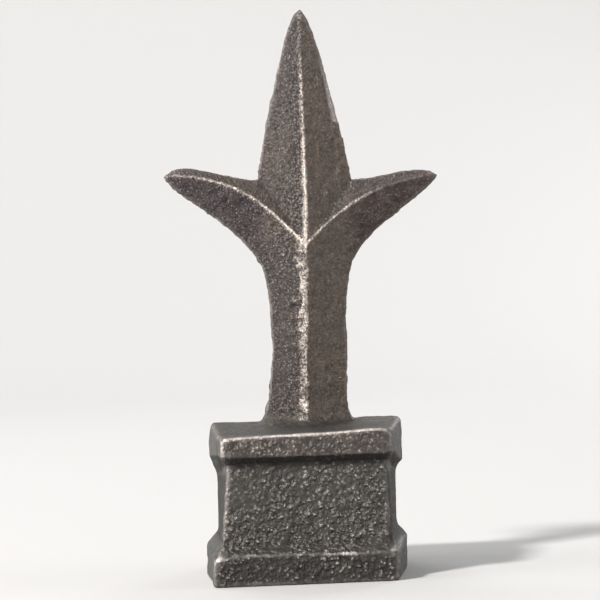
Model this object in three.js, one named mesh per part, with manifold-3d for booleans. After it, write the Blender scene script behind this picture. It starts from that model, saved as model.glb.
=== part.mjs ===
// A cast-iron finial for the top of a gate or railing post: one sand casting.
// A stepped, waisted block base carries a flat, ridged stem that opens into a tall
// lancet blade between two shorter leaves. Front and back are alike, as a two-part
// mould leaves them, with the parting plane at Y = 0 and draft towards both faces.
//
// Units are millimetres. +Z is up, the front faces -Y, and the origin is the centre
// of the flat underside.

import * as THREE from "three";
import { mergeVertices } from "three/addons/utils/BufferGeometryUtils.js";
import Module from "manifold-3d";

// ---------------------------------------------------------------- driving sizes
const OVERALL_HEIGHT = 142; // underside to blade tip, measured up the stem

// Base block. Each level is sized at the sides, where the parting plane crosses it, and at
// the front and back faces, which the draft makes narrower: half widths, half depth, and
// the heights of the level at side and face.
const FOOT = { half: 25.4, faceHalf: 22.2, depth: 24.5 }; // stands on a 2 in square post
const FOOT_TOP = { side: 9.0, face: 7.0 };
const WAIST_LOW = { half: 22.6, faceHalf: 20.8, depth: 21.3, side: 11.3, face: 9.8 };
const WAIST_HIGH = { half: 22.6, faceHalf: 19.6, depth: 20.3, side: 25.4, face: 29.4 };
const CAP = { half: 24.2, faceHalf: 20.9, depth: 22.5 };
const CAP_LOW = { side: 28.9, face: 31.0 };
const CAP_TOP = { side: 38.4, face: 36.0 };
const CORNER = 1.1; // softened upright corners of the block
const ARRIS = 0.5; // softened level edges of the block

// The casting isn't true. The stem stands off square to the underside, the block leans
// with it, and its levels run out from left to right: degrees at the side and at the face.
const STEM_TILT_DEG = 2.4;
const BLOCK_LEAN_DEG = 1.8;
const RUN_OUT = { footTop: [0.0, 0.0], waistLow: [-0.9, -0.2], waistHigh: [-0.3, -0.3], capLow: [-2.0, -0.4], capTop: [-0.6, 1.2] };

// Stem and head, drawn in the parting plane: [across, up], before the tilt above.
const STEM_AXIS = -0.4; // the arris that runs up the middle of the stem
const STEM_LEVELS = [33, 37.2, 38.4, 39.4, 41.4, 43.5, 46, 51]; // it starts down inside the cap
const ROOT_THICKER = [3.4, 3.4, 1.7, 0.9, 0.35, 0.1, 0, 0]; // and runs out into it like this
const FORK = [-0.5, 82.5]; // where the four arrises meet
const BLADE_TIP = [-2.0, OVERALL_HEIGHT];

// Half thickness: at the arrises, and at the blunt edges.
const STEM_RIDGE = 5.6;
const FORK_RIDGE = 6.1;
const LEAF_RIDGE_TIP = 1.6;
const STEM_EDGE = 2.1;
const HEAD_EDGE = 1.7;
const TIP_EDGE = 1.0;

// How the faces are ruled.
const FORK_SHARE = 0.34; // place along the lower edge that the fork's ruling meets
const NOTCH_SHARE = 0.47; // place along the leaf's arris that faces the notch
const BLADE_NOTCH_SHARE = 0.27; // and along the blade's
const BLADE_TAPER = 1.35; // the blade thins slowly at first, then faster
const NECK_STEPS = 9;
const VALLEY_STEPS = 6;
const LEAF_STEPS = 12;
const BLADE_STEPS = 16;
const ACROSS = 2; // facets from an arris to an edge

// ---------------------------------------------------------------- curves
const mix = (a, b, t) => a * (1 - t) + b * t;
const smooth = (t) => t * t * (3 - 2 * t);

function bezier(p0, p1, p2, p3) {
  const curve = new THREE.CubicBezierCurve(
    new THREE.Vector2(...p0),
    new THREE.Vector2(...p1),
    new THREE.Vector2(...p2),
    new THREE.Vector2(...p3)
  );
  return (t) => {
    const p = curve.getPoint(t);
    return [p.x, p.y];
  };
}

function line(a, b) {
  return (t) => [mix(a[0], b[0], t), mix(a[1], b[1], t)];
}

// Joins curves end to end; shares says how much of 0..1 each takes.
function chain(curves, shares) {
  const ends = [];
  let sum = 0;
  for (const s of shares) ends.push((sum += s));
  return (t) => {
    let i = 0;
    while (i < curves.length - 1 && t * sum > ends[i] + 1e-9) i++;
    const start = i ? ends[i - 1] : 0;
    return curves[i](Math.min(1, Math.max(0, (t * sum - start) / shares[i])));
  };
}

// One side of the head. Every curve starts low and ends at a tip.
const SIDES = {
  left: {
    sign: -1,
    root: [-12.6, -12.6, -11.5, -10.9, -10.4, -9.75, -9.4, -9.1], // stem edge at the levels above
    neck: [[-8.75, 57.4], [-9.9, 67.0], [-8.8, 75.6], [-14.5, 81.4]],
    under: [[-14.5, 81.4], [-19.9, 88.5], [-30.6, 93.0], [-35.3, 98.3]],
    underTip: [[-35.3, 98.3], [-35.9, 98.9], [-36.3, 99.3], [-36.3, 99.9]],
    over: [[-12.2, 99.0], [-18.3, 97.9], [-26.5, 103.6], [-34.6, 101.2]],
    overTip: [[-34.6, 101.2], [-35.6, 100.9], [-36.3, 100.5], [-36.3, 99.9]],
    ridge: [FORK, [-12.76, 94.87], [-18.01, 99.17], [-35.5, 100.2]],
    edge: [[-12.2, 99.0], [-10.6, 113.5], [-7.3, 128.5], [-4.72, 138.2]],
    shoulder: [[-4.72, 138.2], [-4.1, 139.9], [-3.5, 141.3], BLADE_TIP],
  },
  right: {
    sign: 1,
    root: [12.6, 12.6, 11.7, 11.0, 10.3, 9.9, 9.85, 9.95],
    neck: [[10.05, 57.4], [9.3, 66.0], [9.7, 78.0], [13.0, 81.4]],
    under: [[13.0, 81.4], [16.6, 87.5], [26.2, 93.1], [31.6, 98.7]],
    underTip: [[31.6, 98.7], [32.2, 99.3], [32.7, 99.7], [32.7, 100.3]],
    over: [[11.0, 99.0], [18.0, 99.4], [24.5, 102.6], [31.2, 101.3]],
    overTip: [[31.2, 101.3], [32.1, 101.1], [32.7, 100.9], [32.7, 100.3]],
    ridge: [FORK, [9.85, 94.11], [18.47, 98.23], [31.9, 100.5]],
    edge: [[11.0, 99.0], [8.2, 113.8], [4.3, 127.5], [0.9, 137.2]],
    shoulder: [[0.9, 137.2], [0.1, 138.9], [-0.8, 141.1], BLADE_TIP],
  },
};

// ---------------------------------------------------------------- the head's faces
// Points are [across, forward, up], with forward the half thickness there. Each face of
// the head is a strip of straight rulings from an arris to a blunt edge or a valley.
const steps = (n, from = 0, to = 1) => Array.from({ length: n + 1 }, (_, k) => mix(from, to, k / n));
const place = ([x, z], depth) => [x, depth, z];

function headStrips(side) {
  // The lower face: up the stem and out along the leaf.
  const lowerEdge = chain([bezier(...side.neck), bezier(...side.under), bezier(...side.underTip)], [0.4, 0.56, 0.04]);
  const leafRidge = bezier(...side.ridge);
  const leafRidgeDepth = (t) => mix(FORK_RIDGE, LEAF_RIDGE_TIP, Math.pow(t, 1.15));
  const lowerEdgeDepth = (t) => mix(STEM_EDGE, mix(HEAD_EDGE, TIP_EDGE, smooth(t)), Math.min(1, t * 1.6));
  const leafTs = [...steps(VALLEY_STEPS, 0, NOTCH_SHARE), ...steps(LEAF_STEPS, NOTCH_SHARE, 1).slice(1)];
  const lower = STEM_LEVELS.map((z, i) => [
    place([STEM_AXIS, z], STEM_RIDGE + ROOT_THICKER[i]),
    place([side.root[i], z], STEM_EDGE + ROOT_THICKER[i]),
  ]);
  for (const t of steps(NECK_STEPS).slice(0, -1))
    lower.push([
      place(line([STEM_AXIS, 57.4], FORK)(t), mix(STEM_RIDGE, FORK_RIDGE, smooth(t))),
      place(lowerEdge(t * FORK_SHARE), lowerEdgeDepth(t * FORK_SHARE)),
    ]);
  for (const t of leafTs) {
    const u = mix(FORK_SHARE, 1, t);
    lower.push([place(leafRidge(t), leafRidgeDepth(t)), place(lowerEdge(u), lowerEdgeDepth(u))]);
  }

  // The valley runs straight from the fork to the notch beside the blade.
  const valley = steps(VALLEY_STEPS).map((t) =>
    place(line(FORK, side.over[0])(t), mix(FORK_RIDGE, HEAD_EDGE, Math.pow(t, 1.08)))
  );

  // The leaf's upper face, from its arris up to the valley and then to its top edge.
  const topEdge = chain([bezier(...side.over), bezier(...side.overTip)], [0.93, 0.07]);
  const over = steps(LEAF_STEPS).map((t) => place(topEdge(t), mix(HEAD_EDGE, TIP_EDGE, smooth(t))));
  const upperOuter = [...valley, ...over.slice(1)];
  const upper = leafTs.map((t, i) => [place(leafRidge(t), leafRidgeDepth(t)), upperOuter[i]]);

  // The blade's face, from its arris out to the valley and then to its edge.
  const bladeAxis = bezier(FORK, [-0.05, 99], [-2.2, 124], BLADE_TIP);
  const bladeTs = [...steps(VALLEY_STEPS, 0, BLADE_NOTCH_SHARE), ...steps(BLADE_STEPS, BLADE_NOTCH_SHARE, 1).slice(1)];
  const sideAndPoint = chain([bezier(...side.edge), bezier(...side.shoulder)], [0.84, 0.16]);
  const bladeOuter = [
    ...valley,
    ...steps(BLADE_STEPS).slice(1).map((t) => place(sideAndPoint(t), mix(HEAD_EDGE, TIP_EDGE, Math.pow(t, 1.5)))),
  ];
  const blade = bladeTs.map((t, i) => [
    place(bladeAxis(t), mix(FORK_RIDGE, TIP_EDGE, Math.pow(t, BLADE_TAPER))),
    bladeOuter[i],
  ]);
  return { lower, upper, blade };
}

// Triangles gathered as a flat list of corners; merged into one closed mesh at the end.
const triangle = (list, a, b, c) => list.push(...a, ...b, ...c);
function quad(list, a, b, c, d) {
  triangle(list, a, b, c);
  triangle(list, a, c, d);
}
const front = ([x, y, z]) => [x, -y, z];
const back = (p) => p;
const ruling = ([a, b]) => steps(ACROSS).map((t) => a.map((v, i) => mix(v, b[i], t)));

// A strip on the front and its mirror image on the back; handed turns the faces out.
function addStrip(list, strip, handed) {
  const rows = strip.map(ruling);
  for (let i = 1; i < rows.length; i++)
    for (let k = 0; k < ACROSS; k++) {
      const face = [rows[i - 1][k], rows[i - 1][k + 1], rows[i][k + 1], rows[i][k]];
      const turned = [...face].reverse();
      quad(list, ...(handed > 0 ? face : turned).map(front));
      quad(list, ...(handed > 0 ? turned : face).map(back));
    }
}

// The blunt edge that joins the front outline to the back one.
function addRim(list, outline, handed) {
  for (let i = 1; i < outline.length; i++) {
    const [p, q] = [outline[i - 1], outline[i]];
    const face = [front(p), back(p), back(q), front(q)];
    quad(list, ...(handed > 0 ? face : face.reverse()));
  }
}

// A small flat end, closed as a fan about its middle.
function addEnd(list, loop, handed) {
  const middle = [0, 1, 2].map((i) => loop.reduce((sum, p) => sum + p[i], 0) / loop.length);
  loop.forEach((p, i) => {
    const q = loop[(i + 1) % loop.length];
    if (handed > 0) triangle(list, middle, p, q);
    else triangle(list, middle, q, p);
  });
}

function headCorners() {
  const list = [];
  for (const side of Object.values(SIDES)) {
    const { lower, upper, blade } = headStrips(side);
    const outer = (strip) => strip.map((r) => r[1]);
    addStrip(list, lower, side.sign);
    addStrip(list, upper, -side.sign);
    addStrip(list, blade, side.sign);
    addRim(list, outer(lower), side.sign);
    addRim(list, outer(upper).slice(VALLEY_STEPS), -side.sign);
    addRim(list, outer(blade).slice(VALLEY_STEPS), side.sign);

    // The stem's lower end, inside the cap.
    const foot = ruling(lower[0]);
    addEnd(list, [...foot.map(front), ...foot.map(back).reverse()], -side.sign);
  }
  return list;
}

// ---------------------------------------------------------------- the block
// A ring of the block: six-sided in plan, widest at the parting plane, with soft corners.
// Its height runs from side (at Y = 0) to face (at the front and back).
function blockRing({ half, faceHalf, depth, side, face, runOut = [0, 0], inset = 0 }) {
  const [w, f, d] = [half - inset, faceHalf - inset, depth - inset];
  const c = CORNER;
  const slope = (w - f) / d; // how the side draws in towards the face
  const quarter = [[w, 0], [f + slope * c, -(d - c)], [f - 0.28 * c, -(d - 0.28 * c)], [f - c, -d]];
  const plan = [
    ...quarter,
    ...quarter.slice(1).reverse().map(([x, y]) => [-x, y]),
    [-w, 0],
    ...quarter.slice(1).map(([x, y]) => [-x, -y]),
    ...quarter.slice(1).reverse().map(([x, y]) => [x, -y]),
  ];
  const tangent = (degrees) => Math.tan(THREE.MathUtils.degToRad(degrees));
  return plan.map(([x, y]) => {
    const out = Math.abs(y) / d;
    const z = mix(side, face, out) + x * tangent(mix(...runOut, out));
    return [x + z * tangent(BLOCK_LEAN_DEG), y, z];
  });
}

function blockCorners() {
  const lower = (level) => ({ side: level.side - ARRIS, face: level.face - ARRIS });
  const higher = (level) => ({ side: level.side + ARRIS, face: level.face + ARRIS });
  const rings = [
    { ...FOOT, side: 0, face: 0, inset: ARRIS },
    { ...FOOT, side: ARRIS, face: ARRIS },
    { ...FOOT, ...lower(FOOT_TOP), runOut: RUN_OUT.footTop },
    { ...FOOT, ...FOOT_TOP, inset: ARRIS, runOut: RUN_OUT.footTop },
    { ...WAIST_LOW, runOut: RUN_OUT.waistLow },
    { ...WAIST_HIGH, runOut: RUN_OUT.waistHigh },
    { ...CAP, ...CAP_LOW, inset: ARRIS, runOut: RUN_OUT.capLow },
    { ...CAP, ...higher(CAP_LOW), runOut: RUN_OUT.capLow },
    { ...CAP, ...lower(CAP_TOP), runOut: RUN_OUT.capTop },
    { ...CAP, ...CAP_TOP, inset: ARRIS, runOut: RUN_OUT.capTop },
  ].map(blockRing);

  const list = [];
  const n = rings[0].length;
  for (let i = 1; i < rings.length; i++)
    for (let k = 0; k < n; k++) {
      const m = (k + 1) % n;
      quad(list, rings[i - 1][m], rings[i - 1][k], rings[i][k], rings[i][m]);
    }
  // The underside, and the top as two gentle slopes from the parting line.
  const cap = (ring, up) => {
    const half = n / 2;
    for (const [from, to] of [[0, half], [half, n]]) {
      const chord = ring[from % n];
      for (let k = from + 1; k < to; k++)
        up ? triangle(list, chord, ring[(k + 1) % n], ring[k]) : triangle(list, chord, ring[k], ring[(k + 1) % n]);
    }
  };
  cap(rings[0], false);
  cap(rings[rings.length - 1], true);
  return list;
}

// ---------------------------------------------------------------- joining
const wasm = await Module();
wasm.setup();

function toGeometry(corners) {
  const g = new THREE.BufferGeometry();
  g.setAttribute("position", new THREE.Float32BufferAttribute(corners, 3));
  return g;
}

function toSolid(geometry) {
  const merged = mergeVertices(geometry, 1e-3);
  const index = [];
  const ix = merged.index.array;
  for (let i = 0; i < ix.length; i += 3)
    if (ix[i] !== ix[i + 1] && ix[i + 1] !== ix[i + 2] && ix[i] !== ix[i + 2]) index.push(ix[i], ix[i + 1], ix[i + 2]);
  return new wasm.Manifold(
    new wasm.Mesh({
      numProp: 3,
      vertProperties: new Float32Array(merged.attributes.position.array),
      triVerts: new Uint32Array(index),
    })
  );
}

function fromSolid(solid) {
  const m = solid.getMesh();
  const g = new THREE.BufferGeometry();
  g.setAttribute("position", new THREE.Float32BufferAttribute(Array.from(m.vertProperties), 3));
  g.setIndex(Array.from(m.triVerts));
  g.computeVertexNormals();
  return g;
}

const head = toGeometry(headCorners());
head.applyMatrix4(new THREE.Matrix4().makeRotationY(THREE.MathUtils.degToRad(STEM_TILT_DEG)));
const casting = toSolid(toGeometry(blockCorners())).add(toSolid(head));

const castIron = new THREE.MeshStandardMaterial({
  name: "cast_iron",
  color: new THREE.Color(0x5b5551),
  roughness: 0.62,
  metalness: 0.75,
});

const finial = new THREE.Mesh(fromSolid(casting), castIron);
finial.name = "finial";

const part = new THREE.Group();
part.add(finial);

export default part;
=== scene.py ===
# A sand-cast iron finial standing on a pale floor. The casting's looks are a fine mesh
# made from the solid: worn arrises with a painted highlight, lumpy grain, soft edges, and an iron material with painted
# shade in its hollows and on sides away from the light.
import math

import bmesh
import bpy
import numpy as np
from mathutils import Matrix


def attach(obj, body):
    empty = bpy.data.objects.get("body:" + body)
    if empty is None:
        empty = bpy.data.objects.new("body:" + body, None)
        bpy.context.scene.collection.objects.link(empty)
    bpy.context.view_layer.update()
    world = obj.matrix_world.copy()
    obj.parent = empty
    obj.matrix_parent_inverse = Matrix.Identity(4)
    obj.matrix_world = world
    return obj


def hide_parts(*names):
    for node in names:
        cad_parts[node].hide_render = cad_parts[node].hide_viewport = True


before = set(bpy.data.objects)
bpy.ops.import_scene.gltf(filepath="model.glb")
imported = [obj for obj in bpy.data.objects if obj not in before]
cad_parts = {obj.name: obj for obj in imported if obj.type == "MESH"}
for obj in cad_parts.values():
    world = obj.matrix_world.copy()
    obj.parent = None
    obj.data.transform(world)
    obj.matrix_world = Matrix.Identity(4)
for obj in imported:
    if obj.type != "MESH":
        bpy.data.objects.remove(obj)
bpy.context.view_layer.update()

# ------------------------------------------------------------------ sizes, millimetres
CELL = 0.456             # side of the casting's mesh cells
SOFTEN_PASSES = 1        # how far the cast edges are rounded
SOFTEN_SHARE = 0.35
STEM_TILT = math.radians(2.4)   # the stem stands off square by this much
CAP_TOP = 38.4           # height of the block
FORK = (-0.5, 82.5)      # across and up, in the stem's own plane
LEFT_LEAF = [FORK, (-12.76, 94.87), (-18.01, 99.17), (-35.5, 100.2)]
RIGHT_LEAF = [FORK, (9.85, 94.11), (18.47, 98.23), (31.9, 100.5)]
BLADE_ARRIS = [FORK, (-0.05, 99.0), (-2.2, 124.0), (-2.0, 142.0)]
BLADE_EDGE = [(11.0, 99.0), (8.2, 113.8), (4.3, 127.5), (0.9, 137.2)]
STEM_ARRIS = [(-0.4, 37.5), (-0.4, 52.0), (-0.4, 67.0), FORK]

# Camera, where the photograph was taken from.
CAMERA_DISTANCE = 550.0
AIM = (-1.9, 68.7)       # across and up in the stem's plane, at the picture's centre
FRAME_WIDTH = 151.62     # seen at that distance


# ------------------------------------------------------------------ noise
def hashed(ix, iy, iz, seed):
    h = (ix.astype(np.int64) * 73856093) ^ (iy.astype(np.int64) * 19349663) ^ (iz.astype(np.int64) * 83492791)
    h = (h ^ (seed * 2654435761)) & 0xFFFFFFFF
    h = ((h ^ (h >> 15)) * 2246822519) & 0xFFFFFFFF
    h = ((h ^ (h >> 13)) * 3266489917) & 0xFFFFFFFF
    return ((h ^ (h >> 16)) & 0xFFFFFF) / float(0xFFFFFF)


def value_noise(p, size, seed):
    """Smooth noise from -1 to 1 with features about size millimetres across."""
    q = p / size
    i = np.floor(q).astype(np.int64)
    f = q - i
    f = f * f * f * (f * (f * 6 - 15) + 10)
    out = np.zeros(len(p))
    for dx in (0, 1):
        for dy in (0, 1):
            for dz in (0, 1):
                w = (f[:, 0] if dx else 1 - f[:, 0]) * (f[:, 1] if dy else 1 - f[:, 1]) * (f[:, 2] if dz else 1 - f[:, 2])
                out += w * hashed(i[:, 0] + dx, i[:, 1] + dy, i[:, 2] + dz, seed)
    return out * 2 - 1


def grains(p, size, seed, fill=0.75):
    """Rounded bumps from 0 to 1, one at most in each cell of that size, some cells bare."""
    q = p / size
    i = np.floor(q).astype(np.int64)
    out = np.zeros(len(p))
    for dx in (-1, 0, 1):
        for dy in (-1, 0, 1):
            for dz in (-1, 0, 1):
                c = [i[:, 0] + dx, i[:, 1] + dy, i[:, 2] + dz]
                at = np.stack([c[k] + 0.15 + 0.7 * hashed(*c, seed + 11 * k) for k in range(3)], 1)
                high = hashed(*c, seed + 71)
                high = np.where(high < fill, 0.35 + 0.65 * high / fill, 0.0)
                wide = 0.45 + 0.35 * hashed(*c, seed + 97)
                d = np.linalg.norm(q - at, axis=1) / wide
                out = np.maximum(out, high * np.clip(1 - d * d, 0, 1) ** 1.2)
    return out


def smoothstep(x, a, b):
    t = np.clip((x - a) / (b - a), 0, 1)
    return t * t * (3 - 2 * t)


# ------------------------------------------------------------------ the casting's mesh
def settled(points):
    """The block's small departures from its plain shape, in millimetres."""
    x, y, z = points.T
    deep = np.abs(y)
    dx, dz = np.zeros(len(points)), np.zeros(len(points))
    # The cap's face is a little taller than true, and its right end stands higher.
    dz += 0.40 * smoothstep(deep, 16, 22) * smoothstep(z, 33.5, 35.5) * smoothstep(z, 39.5, 38.5)
    dz -= 0.50 * smoothstep(deep, 17, 21) * smoothstep(z, 34, 31.5) * smoothstep(z, 27.5, 30.3)
    dz += 0.40 * smoothstep(x, 10, 17) * smoothstep(z, 35, 37.5) * smoothstep(z, 40.0, 39.3)
    # The cap swells at the left and has a drooping lip at the right, at the parting line.
    lip = smoothstep(x, 19, 23) * np.exp(-((z - 28.9) / 2.0) ** 2) * smoothstep(deep, 19, 10)
    dz -= 1.15 * lip
    dx += 0.25 * lip
    dx -= 0.45 * smoothstep(-x, 17, 21) * smoothstep(z, 38, 33) * smoothstep(z, 26, 28.5) * smoothstep(deep, 21, 12)
    # The foot's ledge runs high, its left corner stands out and its right shoulder is full.
    high = smoothstep(x, -22, -16) * (0.85 - 0.35 * smoothstep(x, -5, 15))
    dz += high * smoothstep(deep, 21.5, 24) * smoothstep(z, 3, 6.5) * smoothstep(z, 9.8, 8.2)
    dz += 0.30 * smoothstep(deep, 18, 20) * smoothstep(z, 27, 29) * smoothstep(z, 30.3, 29.6)
    dx -= 0.55 * smoothstep(-x, 18, 21.5) * smoothstep(deep, 15, 23) * smoothstep(z, 10, 8)
    dx += 0.55 * smoothstep(x, 20, 23) * np.exp(-((z - 10.4) / 1.4) ** 2) * smoothstep(deep, 21, 14)
    # The blade's left edge is full along its lower part.
    dx -= 0.36 * smoothstep(x, -3.0, -5.5) * smoothstep(x, -13.0, -11.0) * smoothstep(z, 98.0, 102.0) * smoothstep(z, 133.0, 126.0)
    return points + np.stack([dx, np.zeros(len(points)), dz], 1)


def fine_mesh(node):
    """The solid as an even mesh of small quads, in millimetres: points, edges and faces."""
    work = bpy.data.meshes.new("casting_work")
    bm = bmesh.new()
    bm.from_mesh(node.data)
    bmesh.ops.remove_doubles(bm, verts=bm.verts, dist=1e-6)
    bmesh.ops.scale(bm, vec=(1000, 1000, 1000), verts=bm.verts)
    bm.to_mesh(work)
    bm.free()
    holder = bpy.data.objects.new("casting_work", work)
    bpy.context.scene.collection.objects.link(holder)
    remesh = holder.modifiers.new("cells", "REMESH")
    span = max(holder.dimensions)
    remesh.mode = "SHARP"
    remesh.sharpness = 1.0
    remesh.octree_depth = 9
    remesh.scale = span / (CELL * 2 ** 9)
    remesh.use_remove_disconnected = False
    dg = bpy.context.evaluated_depsgraph_get()
    made = bpy.data.meshes.new_from_object(holder.evaluated_get(dg))
    n, e, f = len(made.vertices), len(made.edges), len(made.polygons)
    points = np.empty(n * 3)
    made.vertices.foreach_get("co", points)
    edges = np.empty(e * 2, dtype=np.int32)
    made.edges.foreach_get("vertices", edges)
    faces = np.array([tuple(poly.vertices) for poly in made.polygons if len(poly.vertices) == 4])
    assert len(faces) == f, "the cells are all quads"
    bpy.data.objects.remove(holder)
    bpy.data.meshes.remove(work)
    bpy.data.meshes.remove(made)
    return points.reshape(-1, 3), edges.reshape(-1, 2), faces


def relaxed(values, edges, passes, share=0.5):
    a, b = edges[:, 0], edges[:, 1]
    n = len(values)
    count = np.bincount(a, minlength=n) + np.bincount(b, minlength=n)
    flat = values.reshape(n, -1).copy()
    for _ in range(passes):
        mean = np.stack(
            [np.bincount(a, flat[b, k], n) + np.bincount(b, flat[a, k], n) for k in range(flat.shape[1])], 1
        ) / count[:, None]
        flat += share * (mean - flat)
    return flat.reshape(values.shape)


def vertex_normals(points, faces):
    v = points[faces]
    n = np.cross(v[:, 2] - v[:, 0], v[:, 3] - v[:, 1])
    out = np.zeros_like(points)
    for k in range(4):
        for axis in range(3):
            out[:, axis] += np.bincount(faces[:, k], n[:, axis], len(points))
    return out / np.maximum(np.linalg.norm(out, axis=1), 1e-12)[:, None]


def along(curve, n=160):
    t = np.linspace(0, 1, n)[:, None]
    p = [np.array(c) for c in curve]
    return (1 - t) ** 3 * p[0] + 3 * (1 - t) ** 2 * t * p[1] + 3 * (1 - t) * t * t * p[2] + t ** 3 * p[3]


def distance_to(xz, curve):
    """Distance in the stem's plane to a curve, how far along it the nearest place is, and
    which side of it: below 0 to the left."""
    line = along(curve)
    best = np.full(len(xz), 1e9)
    where = np.zeros(len(xz))
    side = np.zeros(len(xz))
    for k, p in enumerate(line):
        d = np.hypot(xz[:, 0] - p[0], xz[:, 1] - p[1])
        near = d < best
        best[near] = d[near]
        where[near] = k / (len(line) - 1)
        side[near] = xz[near, 0] - p[0]
    return best, where, side


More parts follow.
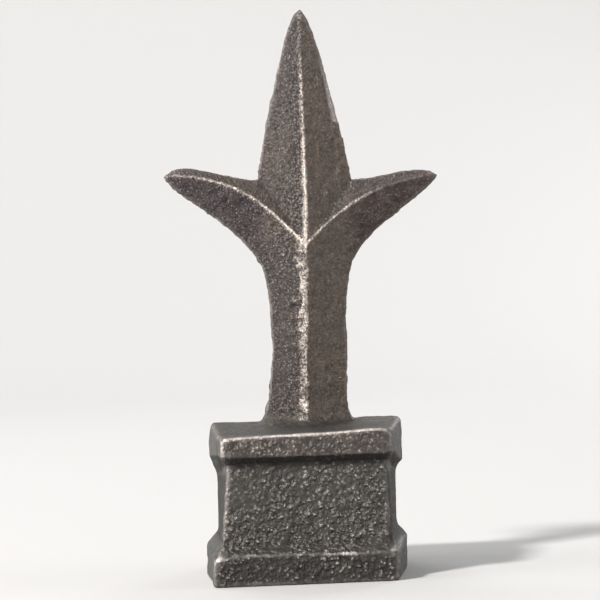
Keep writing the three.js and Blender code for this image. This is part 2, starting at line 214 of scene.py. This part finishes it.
def casting():
    points, edges, faces = fine_mesh(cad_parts["finial"])
    points = settled(points)
    points = relaxed(points, edges, SOFTEN_PASSES, SOFTEN_SHARE)
    # The block's upright corners and side edges are rounded off, one at the cap's right most.
    low = smoothstep(points[:, 2], 0.0, 1.2) * smoothstep(points[:, 2], 41, 40)
    sides = low * smoothstep(np.abs(points[:, 0] - 0.0314 * points[:, 2]), 18.0, 20.3)
    points += sides[:, None] * (relaxed(points, edges, 8) - points)
    knocked = low * smoothstep(points[:, 0], 18.5, 22) * smoothstep(points[:, 2], 33.5, 36.0)
    points += knocked[:, None] * (relaxed(points, edges, 24) - points)
    root = smoothstep(points[:, 2], CAP_TOP - 2.5, CAP_TOP - 0.5) * smoothstep(points[:, 2], CAP_TOP + 6, CAP_TOP + 2.5)
    root *= smoothstep(np.hypot(points[:, 0], points[:, 1]), 20, 15)
    points += root[:, None] * (relaxed(points, edges, 7) - points)
    normals = vertex_normals(points, faces)

    # Where the casting is proud (arrises, rims) and where it is hollow (valleys, steps).
    proud = np.einsum("ij,ij->i", points - relaxed(points, edges, 14), normals)
    wide_proud = np.einsum("ij,ij->i", points - relaxed(points, edges, 60), normals)

    across = points[:, 0] * math.cos(STEM_TILT) - points[:, 2] * math.sin(STEM_TILT)
    up = points[:, 0] * math.sin(STEM_TILT) + points[:, 2] * math.cos(STEM_TILT)
    xz = np.stack([across, up], 1)

    block = smoothstep(up, CAP_TOP + 2.0, CAP_TOP - 0.5)
    facing = np.abs(normals[:, 1])          # front and back faces
    level = normals[:, 2]
    face_of_block = block * smoothstep(facing, 0.55, 0.85)
    top_of_block = block * smoothstep(level, 0.6, 0.9)
    side_of_block = block * smoothstep(np.abs(normals[:, 0]), 0.6, 0.9)
    under = smoothstep(-level, 0.8, 0.97) * smoothstep(points[:, 2], 2.0, 0.5)

    # The arrises, one by one: they differ in width and in how worn they are. Each is a broken line of worn, lighter
    # grains and a painted highlight on the crest, wider on its left flank, where the light falls. The flank mask covers
    # left-facing faces only and adds painted highlight and rubbed grains beside the crest.
    arris = np.zeros(len(points))
    flank = np.zeros(len(points))
    clusters = np.clip(0.74 + 0.75 * value_noise(points, 1.25, 61) + 0.35 * value_noise(points, 4.2, 62), 0.12, 1.15)
    for curve, left_wide, right_wide, flank_wide, strong in (
        (STEM_ARRIS, 1.50, 0.40, 5.4, 1.07), (BLADE_ARRIS, 0.50, 0.26, 2.8, 1.3), (LEFT_LEAF, 0.24, 0.24, 1.2, 1.4), (RIGHT_LEAF, 0.18, 0.18, 0.7, 1.3),
    ):
        d, where, side = distance_to(xz, curve)
        fade = 1.0
        wide = np.where(side < 0, left_wide, right_wide)
        if curve is STEM_ARRIS:
            fade = clusters * (1 - 0.3 * smoothstep(where, 0.13, 0.04))
            wide = np.where(side < 0, wide + 0.6 * smoothstep(where, 0.80, 0.95), wide)
        elif curve is BLADE_ARRIS:
            fade = 1 - 0.30 * smoothstep(where, 0.42, 0.55) - 0.55 * smoothstep(where, 0.70, 0.86)
            wide = wide * (1.0 + 0.40 * smoothstep(where, 0.46, 0.30))
            flank_wide = 4.2 + 4.2 * smoothstep(where, 0.45, 0.15)
        elif curve is LEFT_LEAF:
            fade = 1 - 0.55 * smoothstep(where, 0.55, 0.95)
            wide = wide * (1.8 - 1.0 * smoothstep(where, 0.0, 0.45))
        elif curve is RIGHT_LEAF:
            fade = 1 - 0.97 * smoothstep(where, 0.36, 0.66)
        rag = 0.5 if curve is STEM_ARRIS else 0.3
        ragged = 1 + rag * value_noise(points, 2.6, 5) + rag * value_noise(points, 1.1, 6)
        arris = np.maximum(arris, strong * fade * smoothstep(wide * ragged - d, -0.24, 0.24))
        on_left = smoothstep(-normals[:, 0], 0.05, 0.25)
        rub = 0.7 if curve is STEM_ARRIS else 1.4
        flank = np.maximum(flank, rub * np.clip(fade, 0, 1) * on_left * np.clip(1 - d / flank_wide, 0, 1) ** 0.7)
    # Rubbed patches where the stem runs out onto the cap.
    for x, z, r in ((-6.0, 41.5, 2.2), (-1.2, 40.0, 0.9), (-3.8, 41.0, 1.6)):
        flank = np.maximum(flank, 1.2 * np.exp(-(np.hypot(across - x, up - z) / r) ** 2))
    on_head = (1 - block * smoothstep(up, CAP_TOP + 0.8, CAP_TOP)) * smoothstep(facing, 0.55, 0.8)
    arris *= on_head
    flank *= on_head

    # Relief. Coarse lumps on the block's faces, finer grain on the stem and head, and
    # slow waviness all over, as sand leaves.
    corner = smoothstep(proud, 0.05, 0.2) * block
    ledge_up = block * smoothstep(level, 0.3, 0.6) * smoothstep(points[:, 2], 13, 11.5) * smoothstep(np.abs(points[:, 0]), 21.5, 20)
    coarse = np.maximum(np.maximum(face_of_block, 0.85 * ledge_up), (0.26 - 0.14 * top_of_block) * block) * (1 - 0.6 * corner)
    coarse = np.maximum(coarse, 0.7 * block * smoothstep(-level, 0.3, 0.6) * smoothstep(points[:, 2], 26, 28) * smoothstep(facing, 0.1, 0.3))
    coarse *= 1 - 0.14 * smoothstep(points[:, 2], 29.5, 31)
    under_cap = smoothstep(points[:, 2], 25.8, 29.2) * smoothstep(points[:, 2], 30.6, 30.0) * face_of_block
    coarse *= 1 - 0.40 * under_cap
    coarse *= 1 + 0.25 * smoothstep(points[:, 2], 9.0, 7.5)
    coarse *= 0.52 + 0.48 * smoothstep(value_noise(points, 8.0, 71) + 0.5 * value_noise(points, 4.0, 72), -0.45, 0.25)
    coarse *= 1 - 0.30 * smoothstep(points[:, 0], -6, -13) * smoothstep(points[:, 2], 16, 22) * smoothstep(points[:, 2], 30, 28)
    head = 1 - block
    lift = 0.13 * value_noise(points, 7.0, 1) + 0.08 * value_noise(points, 3.2, 2)
    lift += coarse * (0.50 * (grains(points, 1.7, 21, 0.8) - 0.35) + 0.26 * value_noise(points, 1.25, 3))
    rim = head * smoothstep(facing, 0.6, 0.3) + 0.6 * side_of_block
    lift += rim * (0.19 * value_noise(points, 2.0, 17) + 0.12 * value_noise(points, 1.1, 18))
    rougher = smoothstep(-normals[:, 0], 0.02, 0.2) * smoothstep(up, 83, 91) * smoothstep(level, 0.3, 0.1)
    lift += head * (1 + (0.45 + 0.45 * smoothstep(-across, 8, 12)) * rougher) * (0.32 * (grains(points, 1.6, 33, 0.55) - 0.15) + 0.17 * value_noise(points, 1.25, 4) + 0.08 * value_noise(points, 4.2, 14))
    lift += head * 0.70 * np.clip(grains(points, 3.1, 47, 0.2) - 0.3, 0, 1)      # the odd nodule
    lift -= head * 0.55 * np.clip(grains(points, 3.3, 48, 0.2) - 0.45, 0, 1)     # and pit
    lift += flank * 0.60 * (grains(points, 1.25, 53, 0.7) - 0.3)
    lift += arris * (0.06 + 0.16 * value_noise(points, 1.6, 8) + 0.10 * value_noise(points, 5.0, 9))
    # A lump with a pit below it beside the stem's arris.
    lump = np.exp(-(np.hypot((across + 2.7) * 0.7, up - 68.7 - 0.3 * (across + 2.7)) / 0.62) ** 2) * on_head
    pit = np.exp(-(np.hypot((across + 3.5) * 0.6, up - 67.4 - 0.35 * (across + 3.5)) / 0.5) ** 2) * on_head
    lift += 0.8 * lump - 0.8 * pit
    # The lump is lightened as a painted highlight; its pit is darkened as painted shade further on.
    flank = np.maximum(flank, 1.2 * lump)
    arris = np.maximum(arris, 0.5 * lump)
    # The blade's right edge was filed back over a short length.
    d, where, side = distance_to(xz, BLADE_EDGE)
    filed = smoothstep(up, 113.4, 114.0) * smoothstep(up, 133, 121) * head
    strip = 0.9 + 0.55 * smoothstep(up, 126, 115)
    lift -= 0.42 * filed * smoothstep(d, strip + 0.8, strip - 0.2)
    filed *= smoothstep(d, strip + 0.25, strip - 0.2) * smoothstep(-normals[:, 1], 0.5, 0.8)
    lift *= 0.6 * smoothstep(points[:, 2], 0.1, 0.9)       # the underside stays flat
    points = points + normals * lift[:, None]
    points[:, 2] = np.maximum(points[:, 2], 0.0)

    mesh = bpy.data.meshes.new("finial_casting")
    mesh.from_pydata((points / 1000).tolist(), [], faces.tolist())
    mesh.shade_smooth()
    # Painted highlight, partly wear: the block's proud edges are lightened, most on top edges facing up and forward and
    # on corners facing left, toward the light.
    upward = smoothstep(level, 0.15, 0.5) * block
    sideways = np.abs(normals[:, 0])
    front_top = upward * smoothstep(facing, 0.35, 0.6) * smoothstep(sideways, 0.55, 0.3)
    front_top *= 1 - smoothstep(points[:, 2], 14, 12) * (-0.05 + 1.05 * smoothstep(value_noise(points, 1.6, 15) + 0.5 * value_noise(points, 5.0, 16), 0.35, -0.15))
    edge_wear_and_highlight = smoothstep(proud, 0.05, 0.22) * (0.14 + 0.12 * smoothstep(-normals[:, 0], 0.2, 0.5) * smoothstep(points[:, 2], 8, 12) + front_top)
    slanting = smoothstep(-normals[:, 1], 0.25, 0.5) * smoothstep(-normals[:, 1], 0.97, 0.85) * block * smoothstep(np.abs(level), 0.5, 0.3)
    corner_left = slanting * smoothstep(-normals[:, 0], 0.25, 0.5)
    corner_right = slanting * smoothstep(normals[:, 0], 0.25, 0.5)
    outer = np.maximum(smoothstep(points[:, 2], 29.5, 31), smoothstep(points[:, 2], 9, 7.5))
    edge_wear_and_highlight += corner_left * (0.05 + 0.17 * outer) + corner_right * 0.07 * outer
    edge_wear_and_highlight = np.clip(edge_wear_and_highlight * (0.85 + 0.35 * value_noise(points, 2.2, 12) + 0.25 * value_noise(points, 9.0, 13)), 0, 1)
    # Painted shade: the colour is darkened on the block's waist sides, the down-facing faces under the cap, the
    # right-facing facets above the foot, the foot's sides and front, the cap's top, the block's right side, the stem's
    # left faces below the fork and the band under the cap. The same mask roughens these places. The cap's faces are a
    # little warmer.
    shade = side_of_block * smoothstep(points[:, 2], 9, 12) * smoothstep(points[:, 2], 28, 25) * 0.85
    shade = np.maximum(shade, block * smoothstep(-level, 0.12, 0.3) * smoothstep(points[:, 2], 20, 24) * 0.8)
    shade = np.maximum(shade, block * smoothstep(normals[:, 0], 0.2, 0.45) * smoothstep(points[:, 2], 8.0, 9.5) * smoothstep(points[:, 2], 14, 12) * 0.75)
    shade += 0.2 * side_of_block * smoothstep(points[:, 2], 9, 7) + 0.62 * face_of_block * smoothstep(points[:, 2], 8.5, 7.5) + 0.3 * top_of_block * smoothstep(points[:, 2], 20, 30)
    shade = np.maximum(shade, 0.30 * side_of_block * smoothstep(points[:, 0], -5, 5))
    shade += head * smoothstep(up, 84, 76) * smoothstep(normals[:, 0], 0.0, -0.2) * 0.38
    shade = np.maximum(shade, 0.45 * under_cap)
    cap_face = face_of_block * smoothstep(points[:, 2], 29.5, 31.5)
    # Painted shade: concave places, the undersides of the ledges and the pit beside the stem's arris are darkened.
    painted_hollow_shade = smoothstep(-wide_proud, 0.08, 0.75)
    ledge = block * smoothstep(-level, 0.12, 0.5) * smoothstep(points[:, 2], 15, 20) * np.clip(0.85 + 0.35 * value_noise(points, 2.4, 81), 0, 1)
    painted_hollow_shade = np.maximum(np.maximum(painted_hollow_shade, 0.68 * ledge), pit)
    leaf = head * smoothstep(np.abs(across + 0.5), 9.0, 14.0) * (1 - 0.75 * smoothstep(level, 0.08, 0.3))
    right = smoothstep(normals[:, 0], -0.05, 0.22) * facing
    for name, values in (
        ("arris", arris), ("edge_wear_and_highlight", edge_wear_and_highlight), ("painted_hollow_shade", painted_hollow_shade), ("coarse", coarse), ("head", head),
        ("leaf", leaf), ("right", right), ("flank", flank), ("filed", filed), ("shade", shade), ("cap_face", cap_face), ("plain", np.clip(top_of_block + side_of_block + under, 0, 1)),
    ):
        layer = mesh.attributes.new(name, "FLOAT", "POINT")
        layer.data.foreach_set("value", values.astype(np.float32))
    mesh.validate()
    ob = bpy.data.objects.new("finial_casting", mesh)
    bpy.context.scene.collection.objects.link(ob)
    return ob


# ------------------------------------------------------------------ materials
class Tree:
    def __init__(self, name):
        self.material = bpy.data.materials.new(name)
        self.material.use_nodes = True
        self.nodes, self.links = self.material.node_tree.nodes, self.material.node_tree.links
        self.shader = self.nodes["Principled BSDF"]

    def add(self, kind, inputs=None, **settings):
        n = self.nodes.new(kind)
        for k, v in settings.items():
            setattr(n, k, v)
        for k, v in (inputs or {}).items():
            self.put(n.inputs[k], v)
        return n

    def put(self, socket, value):
        if isinstance(value, bpy.types.NodeSocket):
            self.links.new(value, socket)
        else:
            socket.default_value = value

    def attribute(self, name):
        return self.add("ShaderNodeAttribute", attribute_name=name).outputs["Fac"]

    def maths(self, how, a, b=0.0, clamp=False):
        return self.add("ShaderNodeMath", {0: a, 1: b}, operation=how, use_clamp=clamp).outputs[0]

    def noise(self, where, scale, detail=2.0, rough=0.5):
        return self.add(
            "ShaderNodeTexNoise", {"Vector": where, "Scale": scale, "Detail": detail, "Roughness": rough}
        ).outputs["Fac"]

    def ramp(self, value, low, high, to_low=0.0, to_high=1.0):
        return self.add(
            "ShaderNodeMapRange",
            {"Value": value, "From Min": low, "From Max": high, "To Min": to_low, "To Max": to_high},
        ).outputs["Result"]

    def mix(self, share, a, b):
        n = self.nodes.new("ShaderNodeMix")
        n.data_type = "RGBA"
        self.put(n.inputs["Factor"], share)
        for socket, v in ((n.inputs[6], a), (n.inputs[7], b)):
            self.put(socket, v if isinstance(v, bpy.types.NodeSocket) else (*v, 1.0))
        return n.outputs[2]


def iron():
    t = Tree("cast_iron")
    where = t.add("ShaderNodeTexCoord").outputs["Object"]
    arris, edge_wear_and_highlight, painted_hollow_shade, flank, filed = (t.attribute(n) for n in ("arris", "edge_wear_and_highlight", "painted_hollow_shade", "flank", "filed"))
    coarse, head, leaf, right, plain = (t.attribute(n) for n in ("coarse", "head", "leaf", "right", "plain"))
    shade, cap_face = t.attribute("shade"), t.attribute("cap_face")

    patches = t.noise(where, 55.0, 4.0, 0.6)
    blotch = t.noise(where, 210.0, 3.0, 0.6)
    fine = t.noise(where, 1650.0, 3.0, 0.7)
    sand = t.add("ShaderNodeTexVoronoi", {"Vector": where, "Scale": 1650.0})
    drawn = t.add("ShaderNodeSeparateColor", {"Color": sand.outputs["Color"]}).outputs[0]
    dot = t.ramp(sand.outputs["Distance"], 0.56, 0.16)

    # The block's sand grain: rounded lumps, some worn away, on a wavy ground.
    warp = t.add("ShaderNodeVectorMath", {0: t.add("ShaderNodeTexNoise", {"Vector": where, "Scale": 500.0}).outputs["Color"], 1: (0.0011, 0.0011, 0.0011)}, operation="MULTIPLY")
    warped = t.add("ShaderNodeVectorMath", {0: where, 1: warp.outputs[0]}, operation="ADD").outputs[0]
    cells = t.add("ShaderNodeTexVoronoi", {"Vector": warped, "Scale": 900.0, "Smoothness": 0.3}, feature="SMOOTH_F1").outputs["Distance"]
    lump = t.maths("MULTIPLY", t.ramp(cells, 0.60, 0.10), t.ramp(t.noise(where, 520.0, 1.0), 0.34, 0.60, 0.2, 1.0))
    grain = t.maths("ADD", t.maths("MULTIPLY", lump, 0.44), t.maths("MULTIPLY", t.noise(where, 780.0, 2.0, 0.5), 0.80))

    # Dark iron: grey on the block, with violet heat tints on the leaves; the head's right-facing faces are painted
    # browner as their shaded side (painted shade).
    base = t.mix(t.ramp(patches, 0.38, 0.62), (0.070, 0.067, 0.060), (0.082, 0.075, 0.068))
    base = t.mix(head, base, t.mix(t.ramp(patches, 0.40, 0.60), (0.074, 0.065, 0.061), (0.094, 0.073, 0.062)))
    base = t.mix(t.maths("MULTIPLY", cap_face, t.ramp(blotch, 0.35, 0.65, 0.4, 1.0)), base, (0.112, 0.090, 0.080))
    # Painted shade: the head's right-facing faces take a browner copy of the iron's colour, as their shaded side.
    right_side_shade_tint = t.maths("MULTIPLY", right, t.maths("MULTIPLY", head, t.ramp(blotch, 0.3, 0.7, 0.5, 1.0)))
    base = t.mix(right_side_shade_tint, base, (0.104, 0.080, 0.062))
    # On the leaves the violet has a browner copy on right-facing faces: painted shade.
    violet = t.maths("MULTIPLY", leaf, t.ramp(blotch, 0.35, 0.62, 0.35, 1.0))
    base = t.mix(violet, base, t.mix(right, (0.047, 0.034, 0.041), (0.050, 0.032, 0.029)))
    # Painted shade: places in the shade mask are darkened.
    base = t.mix(shade, base, (0.030, 0.027, 0.025))
    # Painted shade: the low places between the grains are darkened, on the block and on the head, less on the head's
    # right-facing faces.
    on_block = t.maths("SUBTRACT", 1.0, head)
    base = t.mix(t.maths("MULTIPLY", on_block, t.ramp(grain, 0.30, 0.50, 0.52, 0.0)), base, (0.020, 0.018, 0.016))
    low_grain_shade = t.maths("MULTIPLY", t.ramp(fine, 0.36, 0.50, 0.80, 0.0), t.ramp(right, 0.0, 1.0, 1.0, 0.7))
    base = t.mix(t.maths("MULTIPLY", head, low_grain_shade), base, (0.026, 0.022, 0.020))
    # Painted shade and painted light: darker and lighter patches on the head's right-facing faces only.
    cloud = t.noise(where, 560.0, 3.0, 0.6)
    base = t.mix(t.maths("MULTIPLY", t.maths("MULTIPLY", head, right), t.ramp(cloud, 0.48, 0.34, 0.0, 0.45)), base, (0.046, 0.034, 0.029))
    base = t.mix(t.maths("MULTIPLY", t.maths("MULTIPLY", head, right), t.ramp(cloud, 0.53, 0.68, 0.0, 0.30)), base, (0.165, 0.130, 0.112))

    # Painted highlights: grain tops are lightened as glints, partly worn grains. They are thicker beside the arrises on
    # their left flanks and on the block, and fewer on right-facing faces.
    lit_block = t.maths("MULTIPLY", t.maths("MULTIPLY", coarse, t.ramp(fine, 0.44, 0.60, 0.1, 1.0)), t.ramp(grain, 0.56, 0.70))
    share = t.maths("ADD", t.ramp(right, 0.0, 1.0, 0.24, 0.14), t.maths("MULTIPLY", flank, 0.55))
    share = t.maths("ADD", share, t.ramp(blotch, 0.35, 0.65, -0.10, 0.10))
    share = t.maths("ADD", t.maths("SUBTRACT", share, 1.0), drawn)
    speck = t.maths("MULTIPLY", t.ramp(share, 0.0, 0.06), dot)
    speck = t.maths("ADD", t.maths("MULTIPLY", speck, t.maths("ADD", 0.60, t.maths("MULTIPLY", flank, 0.30))), t.maths("MULTIPLY", t.ramp(fine, 0.54, 0.70), t.maths("ADD", 0.34, t.maths("MULTIPLY", flank, 0.85))))
    speck = t.maths("MULTIPLY", speck, t.maths("MULTIPLY", head, t.ramp(right, 0.0, 1.0, 1.0, 0.5)))
    lit = t.maths("ADD", lit_block, t.maths("MULTIPLY", speck, 0.80), clamp=True)
    base = t.mix(lit, base, t.mix(head, (0.36, 0.335, 0.31), (0.36, 0.315, 0.295)))
    base = t.mix(t.maths("MULTIPLY", filed, 0.8), base, (0.29, 0.26, 0.25))
    # Edges lightened: wear, with a painted highlight on the edges facing the light.
    base = t.mix(t.maths("MULTIPLY", edge_wear_and_highlight, t.ramp(grain, 0.3, 0.55, 0.6, 1.0)), base, (0.74, 0.67, 0.62))
    # Arrises lightened: wear, with a painted highlight on the crests; metal and smoothness are raised with it.
    solid = t.ramp(arris, 1.0, 1.5, 0.0, 0.5)
    rubbed_and_lit = t.maths("MULTIPLY", t.ramp(fine, 0.40, 0.54, 0.06, 1.0), t.ramp(t.noise(where, 1050.0, 1.0), 0.38, 0.54, 0.45, 1.0))
    wear_and_highlight = t.maths("MULTIPLY", arris, t.maths("ADD", rubbed_and_lit, solid, clamp=True), clamp=True)
    base = t.mix(wear_and_highlight, base, (0.82, 0.72, 0.645))
    # Painted shade: concave places, the undersides of the ledges and the pit are darkened to near black.
    base = t.mix(t.maths("MULTIPLY", painted_hollow_shade, 1.0, clamp=True), base, (0.016, 0.013, 0.011))
    t.put(t.shader.inputs["Base Color"], base)
    t.put(t.shader.inputs["Metallic"], t.maths("ADD", 0.50, t.maths("MULTIPLY", wear_and_highlight, 0.3), clamp=True))
    rough = t.ramp(fine, 0.35, 0.65, 0.58, 0.42)
    rough = t.maths("SUBTRACT", rough, t.maths("MULTIPLY", wear_and_highlight, 0.1))
    t.put(t.shader.inputs["Roughness"], t.maths("ADD", rough, t.maths("MULTIPLY", shade, 0.3)))

    # Sand grain too fine for the mesh.
    first = t.add("ShaderNodeBump", {"Strength": t.maths("MULTIPLY", coarse, 1.0, clamp=True), "Distance": 0.0015, "Height": grain})
    strength = t.maths("ADD", t.ramp(head, 0.0, 1.0, 0.14, 0.5), t.maths("MULTIPLY", flank, 0.4))
    strength = t.maths("ADD", strength, t.maths("MULTIPLY", leaf, 0.2))
    strength = t.maths("MULTIPLY", strength, t.ramp(plain, 0.0, 1.0, 1.0, 0.35), clamp=True)
    height = t.maths("ADD", fine, t.maths("MULTIPLY", dot, t.ramp(drawn, 0.3, 1.0, 0.0, 0.35)))
    second = t.add(
        "ShaderNodeBump",
        {"Strength": strength, "Distance": 0.0012, "Height": height, "Normal": first.outputs["Normal"]},
    )
    t.put(t.shader.inputs["Normal"], second.outputs["Normal"])
    return t.material


def plain_material(name, colour, rough):
    t = Tree(name)
    where = t.add("ShaderNodeTexCoord").outputs["Object"]
    shade = t.ramp(t.noise(where, 1.2, 2.0), 0.3, 0.7)
    t.put(t.shader.inputs["Base Color"], t.mix(shade, colour, tuple(c * 0.985 for c in colour)))
    t.put(t.shader.inputs["Roughness"], rough)
    return t.material


# ------------------------------------------------------------------ the scene
finial = casting()
finial.data.materials.append(iron())
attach(finial, "root")
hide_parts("finial")

# A floor that sweeps up behind into a plain backdrop.
BACK, BEND, TALL, SIDE = 1.0, 0.7, 3.0, 3.0
profile = [(-3.5, 0.0), (BACK, 0.0)]
profile += [(BACK + BEND * math.sin(a), BEND * (1 - math.cos(a))) for a in np.linspace(0, math.pi / 2, 25)[1:]]
profile += [(BACK + BEND, TALL)]
sweep = [(x, y, z - 0.00005) for y, z in profile for x in (-SIDE, SIDE)]
floor_mesh = bpy.data.meshes.new("floor")
floor_mesh.from_pydata(sweep, [], [(2 * k, 2 * k + 1, 2 * k + 3, 2 * k + 2) for k in range(len(profile) - 1)])
floor_mesh.shade_smooth()
floor = bpy.data.objects.new("floor", floor_mesh)
bpy.context.scene.collection.objects.link(floor)
floor_mesh.materials.append(plain_material("pale_floor", (0.56, 0.555, 0.55), 0.9))

# The same backdrop all round, for the camera alone, so that other views have it too.
ROUND, LIFT = 1.7, 0.7
profile = [(ROUND - LIFT, 0.0)] + [
    (ROUND - LIFT + LIFT * math.sin(a), LIFT * (1 - math.cos(a))) for a in np.linspace(0, math.pi / 2, 17)[1:]
] + [(ROUND, TALL)]
turns = 72
ring_points = [
    (r * math.cos(2 * math.pi * k / turns), r * math.sin(2 * math.pi * k / turns), z - 0.00005)
    for k in range(turns) for r, z in profile
]
count = len(profile)
ring_faces = [
    (k * count + j, k * count + j + 1, ((k + 1) % turns) * count + j + 1, ((k + 1) % turns) * count + j)
    for k in range(turns) for j in range(count - 1)
]
surround_mesh = bpy.data.meshes.new("surround")
surround_mesh.from_pydata(ring_points, [], ring_faces)
surround_mesh.shade_smooth()
surround = bpy.data.objects.new("surround", surround_mesh)
bpy.context.scene.collection.objects.link(surround)
surround_mesh.materials.append(floor_mesh.materials[0])
surround.visible_diffuse = surround.visible_glossy = surround.visible_transmission = surround.visible_shadow = False

world = bpy.data.worlds.new("studio")
bpy.context.scene.world = world
world.use_nodes = True
world.node_tree.nodes["Background"].inputs["Color"].default_value = (0.80, 0.80, 0.81, 1.0)
world.node_tree.nodes["Background"].inputs["Strength"].default_value = 0.42


def lamp(name, at, aim, size, watts, colour=(1.0, 1.0, 1.0)):
    data = bpy.data.lights.new(name, "AREA")
    data.shape, data.size, data.energy, data.color = "DISK", size, watts, colour
    ob = bpy.data.objects.new(name, data)
    bpy.context.scene.collection.objects.link(ob)
    back = (np.array(at) - np.array(aim)).astype(float)
    back /= np.linalg.norm(back)
    side = np.cross((0.0, 0.0, 1.0), back)
    side /= np.linalg.norm(side)
    top = np.cross(back, side)
    ob.matrix_world = Matrix([[side[i], top[i], back[i], at[i]] for i in range(3)] + [[0, 0, 0, 1]])
    return ob


MIDDLE = (0.0, 0.0, 0.07)
lamp("key", (-1.55, -1.30, 1.70), MIDDLE, 0.36, 88.0, (1.0, 0.975, 0.95))
lamp("left", (-2.60, -0.26, 0.65), MIDDLE, 1.8, 38.0)
lamp("right", (2.60, -0.39, 0.52), MIDDLE, 1.6, 27.5, (0.97, 0.98, 1.0))
lamp("rim", (-0.50, 0.95, 1.50), MIDDLE, 0.8, 7.0)
lamp("back", (0.75, 1.20, 0.62), MIDDLE, 0.6, 5.0)

camera_data = bpy.data.cameras.new("camera")
camera_data.sensor_width = 36.0
camera_data.lens = 36.0 * CAMERA_DISTANCE / FRAME_WIDTH
camera_data.clip_start, camera_data.clip_end = 0.01, 20.0
camera = bpy.data.objects.new("camera", camera_data)
bpy.context.scene.collection.objects.link(camera)
c, s = math.cos(STEM_TILT), math.sin(STEM_TILT)
eye = (AIM[0] * c + AIM[1] * s, -CAMERA_DISTANCE, -AIM[0] * s + AIM[1] * c)
camera.matrix_world = Matrix(
    [[c, s, 0, eye[0] / 1000], [0, 0, -1, eye[1] / 1000], [-s, c, 0, eye[2] / 1000], [0, 0, 0, 1]]
)
bpy.context.scene.camera = camera
bpy.context.scene.view_settings.view_transform = "Standard"
